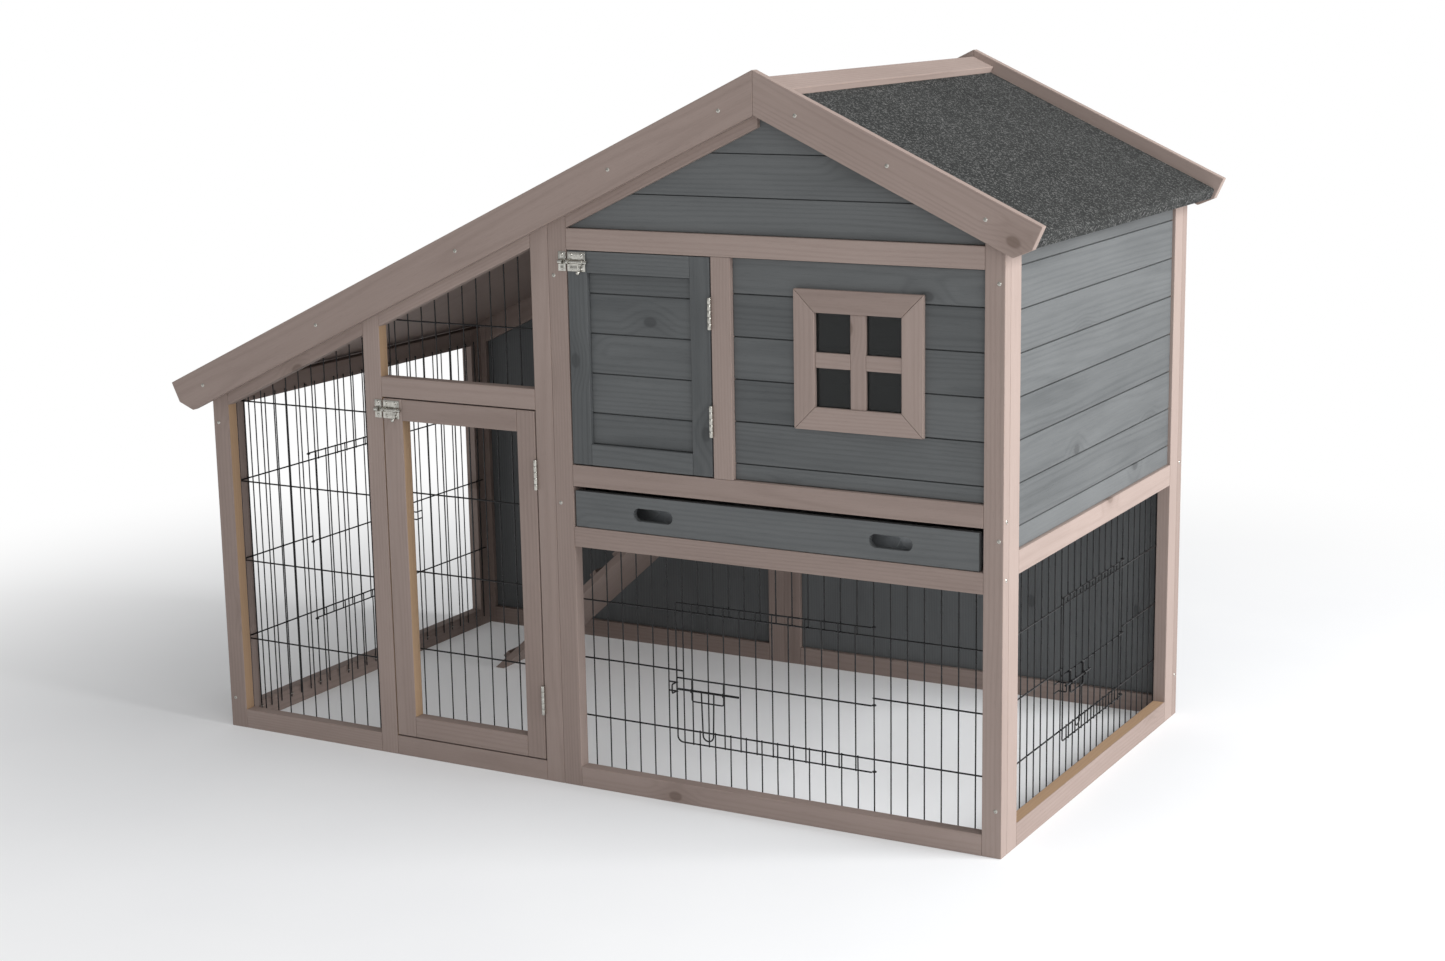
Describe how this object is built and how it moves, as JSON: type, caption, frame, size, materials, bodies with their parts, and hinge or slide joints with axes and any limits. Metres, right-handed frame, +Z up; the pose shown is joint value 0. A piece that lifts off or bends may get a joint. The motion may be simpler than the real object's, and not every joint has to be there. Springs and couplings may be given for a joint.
{
  "type": "rabbit hutch",
  "caption": "Wooden rabbit hutch: a raised house with hatch, window and pull-out tray beside a wired run with a door, under one ridged felt roof.",
  "frame": {"origin": "on the ground under the middle of the overall box", "axes": "+X to the right along the front, +Y from the front to the back, +Z up"},
  "size_m": [1.532, 0.7914, 1.1],
  "materials": {
    "stained_wood": "taupe stain over knotty softwood, bare wood on the rebates",
    "slate_wood": "slate grey stain over tongued softwood boards",
    "mineral_felt": "dark grey mineral felt with light grit",
    "black_wire": "black coated welded wire",
    "zinc": "bright zinc plate",
    "tray_metal": "galvanised sheet",
    "clear_pane": "clear acrylic pane"
  },
  "bodies": {
    "root": {"run_front_frame": "stained_wood", "run_front_mesh": "black_wire", "run_window_mesh": "black_wire", "run_end_frame": "stained_wood", "run_end_mesh": "black_wire", "run_rear_frame": "stained_wood", "run_rear_panel": "slate_wood", "house_front_frame": "stained_wood", "house_front_siding": "slate_wood", "gable_front_siding": "slate_wood", "window_trim": "stained_wood", "window_muntins": "stained_wood", "window_pane": "clear_pane", "house_front_mesh": "black_wire", "house_side_frame": "stained_wood", "house_side_siding": "slate_wood", "house_side_mesh": "black_wire", "house_rear_frame": "stained_wood", "house_rear_siding": "slate_wood", "house_rear_panel": "slate_wood", "partition_frame": "stained_wood", "partition_siding": "slate_wood", "tray_runners": "stained_wood", "fascia_front_left": "stained_wood", "fascia_front_right": "stained_wood", "fascia_rear_left": "stained_wood", "fascia_rear_right": "stained_wood", "roof_deck_left": "stained_wood", "roof_deck_right": "stained_wood", "roof_felt_left": "mineral_felt", "roof_felt_right": "mineral_felt", "ridge_cap": "stained_wood", "ridge_beam": "stained_wood", "screws": "zinc", "bolt_keepers": "zinc", "door_hinge_fixed": "zinc", "hatch_hinge_fixed": "zinc", "ramp_hinge_fixed": "zinc"},
    "run_door": {"run_door_frame": "stained_wood", "run_door_mesh": "black_wire", "run_door_bolt_plate": "zinc", "door_hinge_moving": "zinc"},
    "run_door_bolt": {"run_door_bolt": "zinc"},
    "hatch": {"hatch_frame": "slate_wood", "hatch_panel": "slate_wood", "hatch_bolt_plate": "zinc", "hatch_hinge_moving": "zinc"},
    "hatch_bolt": {"hatch_bolt": "zinc"},
    "drawer": {"drawer_front": "slate_wood", "drawer_tray": "tray_metal"},
    "ramp": {"ramp_board": "stained_wood", "ramp_cleats": "stained_wood", "ramp_hinge_moving": "zinc"},
    "front_wire_door": {"front_wire_door": "black_wire"},
    "front_wire_latch": {"front_wire_latch": "black_wire"},
    "side_wire_door": {"side_wire_door": "black_wire"},
    "side_wire_latch": {"side_wire_latch": "black_wire"},
    "end_wire_door": {"end_wire_door": "black_wire"},
    "end_wire_latch": {"end_wire_latch": "black_wire"}
  },
  "joints": [
    {"name": "run_door_hinge", "type": "hinge", "parent": "root", "child": "run_door", "pos_m": [-0.057, -0.3838, 0.31], "axis": [0, 0, 1], "range_deg": [0, 95]},
    {"name": "run_door_bolt_slide", "type": "slide", "parent": "run_door", "child": "run_door_bolt", "axis": [-1, 0, 0], "range_m": [0, 0.014]},
    {"name": "hatch_hinge", "type": "hinge", "parent": "root", "child": "hatch", "pos_m": [0.252, -0.3838, 0.67], "axis": [0, 0, 1], "range_deg": [0, 105]},
    {"name": "hatch_bolt_slide", "type": "slide", "parent": "hatch", "child": "hatch_bolt", "axis": [-1, 0, 0], "range_m": [0, 0.014]},
    {"name": "drawer_slide", "type": "slide", "parent": "root", "child": "drawer", "axis": [0, -1, 0], "range_m": [0, 0.55]},
    {"name": "ramp_hinge", "type": "hinge", "parent": "root", "child": "ramp", "pos_m": [-0.029, 0.2135, 0.4115], "axis": [0, 1, 0], "range_deg": [0, 40]},
    {"name": "front_wire_door_hinge", "type": "hinge", "parent": "root", "child": "front_wire_door", "pos_m": [0.499, -0.3565, 0.2], "axis": [0, 0, 1], "range_deg": [0, 100]},
    {"name": "front_wire_latch_slide", "type": "slide", "parent": "front_wire_door", "child": "front_wire_latch", "axis": [-1, 0, 0], "range_m": [0, 0.014]},
    {"name": "side_wire_door_hinge", "type": "hinge", "parent": "root", "child": "side_wire_door", "pos_m": [0.684, 0.1695, 0.2], "axis": [0, 0, 1], "range_deg": [0, 100]},
    {"name": "side_wire_latch_slide", "type": "slide", "parent": "side_wire_door", "child": "side_wire_latch", "axis": [0, -1, 0], "range_m": [0, 0.014]},
    {"name": "end_wire_door_hinge", "type": "hinge", "parent": "root", "child": "end_wire_door", "pos_m": [-0.668, -0.1725, 0.28], "axis": [0, 0, 1], "range_deg": [0, 100]},
    {"name": "end_wire_latch_slide", "type": "slide", "parent": "end_wire_door", "child": "end_wire_latch", "axis": [0, 1, 0], "range_m": [0, 0.014]}
  ]
}
